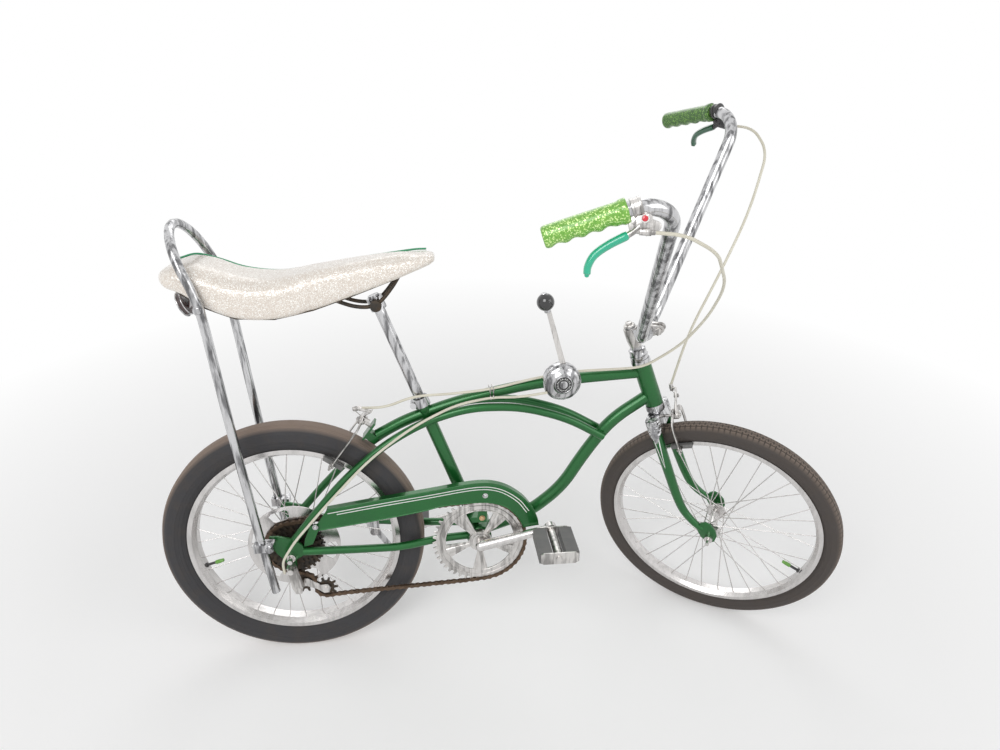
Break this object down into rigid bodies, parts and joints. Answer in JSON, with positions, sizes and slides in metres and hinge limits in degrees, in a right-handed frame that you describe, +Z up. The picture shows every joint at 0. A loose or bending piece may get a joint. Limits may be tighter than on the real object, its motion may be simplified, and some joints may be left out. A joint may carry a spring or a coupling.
{
  "type": "chopper bicycle",
  "caption": "Green chopper bicycle with a long banana seat, a tall sissy bar, high-rise handlebars and a stick shifter.",
  "frame": {"origin": "under the middle of the bounding box, on the floor", "axes": "+Z up, +X the way the bicycle's frame points, +Y to the rider's left; the frame leans to the left"},
  "size_m": [1.3523, 0.6496, 1.053],
  "materials": {
    "paint_green": "gloss",
    "chrome": "polished",
    "steel_dark": "satin",
    "chain_brown": "satin",
    "tyre_black": "matte",
    "tyre_tan": "matte",
    "vinyl_white": "satin",
    "grip_green": "gloss",
    "rubber_grey": "matte",
    "plastic_black": "gloss",
    "plastic_ivory": "satin",
    "lens_dark": "gloss"
  },
  "bodies": {
    "frame": {"rear_axle": "chrome", "head_tube": "paint_green", "bottom_bracket_shell": "paint_green", "seat_tube": "paint_green", "top_tube": "paint_green", "down_tube": "paint_green", "rear_dropouts": "paint_green", "cantilever_tubes": "paint_green", "chainstays": "paint_green", "crank_bearings": "chrome", "headset_cups": "chrome", "brake_bridge": "paint_green", "rear_brake": "chrome", "rear_brake_pads": "rubber_grey", "seat_post": "chrome", "seat_collar": "chrome", "seat_cushion": "vinyl_white", "seat_pan": "steel_dark", "seat_clamp": "chrome", "sissy_bar": "chrome", "sissy_brackets": "chrome", "rear_reflector": "lens_dark", "chain_guard": "paint_green", "guard_brackets": "paint_green", "shifter_housing": "chrome", "shifter_stick": "chrome", "chain": "chain_brown", "jockey_wheels": "plastic_black", "rear_derailleur": "chrome", "stand_clamp": "paint_green", "rear_brake_cable": "plastic_ivory", "shift_cable": "plastic_ivory"},
    "rear_wheel": {"rear_tyre": "tyre_black", "rear_rim": "chrome", "rear_spokes": "chrome", "rear_hub": "chrome", "spoke_protector": "chrome"},
    "freewheel": {"freewheel": "steel_dark"},
    "crank": {"crank": "chrome", "chainring": "chrome"},
    "pedal_right": {"pedal_right": "chrome", "pedal_right_blocks": "rubber_grey"},
    "pedal_left": {"pedal_left": "chrome", "pedal_left_blocks": "rubber_grey"},
    "steering": {"fork_crown": "chrome", "fork_blades": "paint_green", "headset_nuts": "chrome", "stem": "chrome", "handlebar": "chrome", "grips": "grip_green", "brake_levers": "chrome", "front_brake": "chrome", "front_brake_pads": "rubber_grey", "front_axle": "chrome", "front_brake_cable": "plastic_ivory"},
    "front_wheel": {"front_tyre": "tyre_tan", "front_rim": "chrome", "front_spokes": "chrome", "front_hub": "chrome"},
    "kickstand": {"kickstand": "paint_green"}
  },
  "joints": [
    {"name": "steering", "type": "hinge", "parent": "frame", "child": "steering", "pos_m": [0.29785, -0.0015, 0.55967], "axis": [-0.349, 0.1304, 0.928], "range_deg": [-27, 93], "deforming": ["rear_brake_cable"]},
    {"name": "front_wheel_spin", "type": "hinge", "parent": "steering", "child": "front_wheel", "pos_m": [0.45684, -0.07035, 0.24983], "axis": [0.5104, 0.857, 0.0715], "continuous": true},
    {"name": "rear_wheel_spin", "type": "hinge", "parent": "frame", "child": "rear_wheel", "pos_m": [-0.41716, -0.04395, 0.25767], "axis": [0, 0.9903, -0.1392], "continuous": true},
    {"name": "crank_spin", "type": "hinge", "parent": "frame", "child": "crank", "pos_m": [-0.0457, -0.04475, 0.25199], "axis": [0, 0.9903, -0.1392], "continuous": true},
    {"name": "freewheel_spin", "type": "hinge", "parent": "frame", "child": "freewheel", "pos_m": [-0.41716, -0.07811, 0.26247], "axis": [0, 0.9903, -0.1392], "continuous": true},
    {"name": "pedal_right_spin", "type": "hinge", "parent": "crank", "child": "pedal_right", "pos_m": [0.09601, -0.10583, 0.29158], "axis": [0, 0.9903, -0.1392], "continuous": true},
    {"name": "pedal_left_spin", "type": "hinge", "parent": "crank", "child": "pedal_left", "pos_m": [-0.18741, 0.01634, 0.2124], "axis": [0, 0.9903, -0.1392], "continuous": true},
    {"name": "kickstand_swing", "type": "hinge", "parent": "frame", "child": "kickstand", "pos_m": [-0.26741, 0.00895, 0.22448], "axis": [-0.2651, 0.9637, -0.0324], "range_deg": [0, 85.86]}
  ],
  "couplings": [
    {"joint": "freewheel_spin", "follows": "crank_spin", "ratio": 1.6429}
  ]
}
